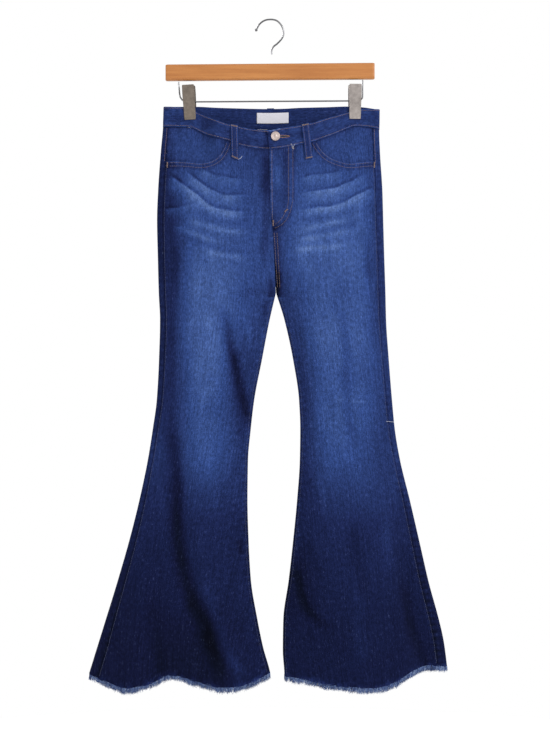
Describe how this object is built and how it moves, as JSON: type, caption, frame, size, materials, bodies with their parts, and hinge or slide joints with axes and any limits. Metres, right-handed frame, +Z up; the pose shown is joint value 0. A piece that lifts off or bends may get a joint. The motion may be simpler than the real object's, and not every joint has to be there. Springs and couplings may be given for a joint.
{
  "type": "flared jeans on a clip hanger",
  "caption": "Faded flared denim jeans with frayed hems, hanging by the waistband from a wooden bar hanger with metal clips.",
  "frame": {"origin": "inner top of the hanger hook, where it rests on a rail", "axes": "+Z up; X along the hanger bar, with the wearer's right leg on the -X side; the front of the jeans faces -Y"},
  "size_m": [0.6665, 0.0796, 1.2446],
  "materials": {
    "denim_body": "washed denim",
    "denim_dark": "dark washed denim",
    "fringe": "frayed denim",
    "label": "woven satin",
    "tape": "matt woven",
    "button": "satin",
    "wood": "satin varnish",
    "chrome": "polished",
    "pewter": "dull plated"
  },
  "bodies": {
    "root": {"front_right": "denim_body", "front_left": "denim_body", "back_right": "denim_body", "back_left": "denim_body", "yoke_right": "denim_body", "yoke_left": "denim_body", "back_pocket_right": "denim_body", "back_pocket_left": "denim_body", "pocket_facing_right": "denim_dark", "pocket_facing_left": "denim_dark", "fly_shield": "denim_dark", "waistband": "denim_dark", "belt_loop_front_right": "denim_dark", "belt_loop_front_left": "denim_dark", "belt_loop_back_right": "denim_dark", "belt_loop_back_left": "denim_dark", "belt_loop_centre_back": "denim_dark", "zip_tape": "tape", "fringe_right": "fringe", "fringe_left": "fringe", "label": "label", "button": "button", "hanger_bar": "wood", "hanger_hook": "chrome", "hook_tip": "chrome", "hanger_rod": "chrome", "clip_right_front": "pewter", "clip_right_back": "pewter", "clip_right_sleeve": "pewter", "clip_left_front": "pewter", "clip_left_back": "pewter", "clip_left_sleeve": "pewter"}
  },
  "joints": []
}
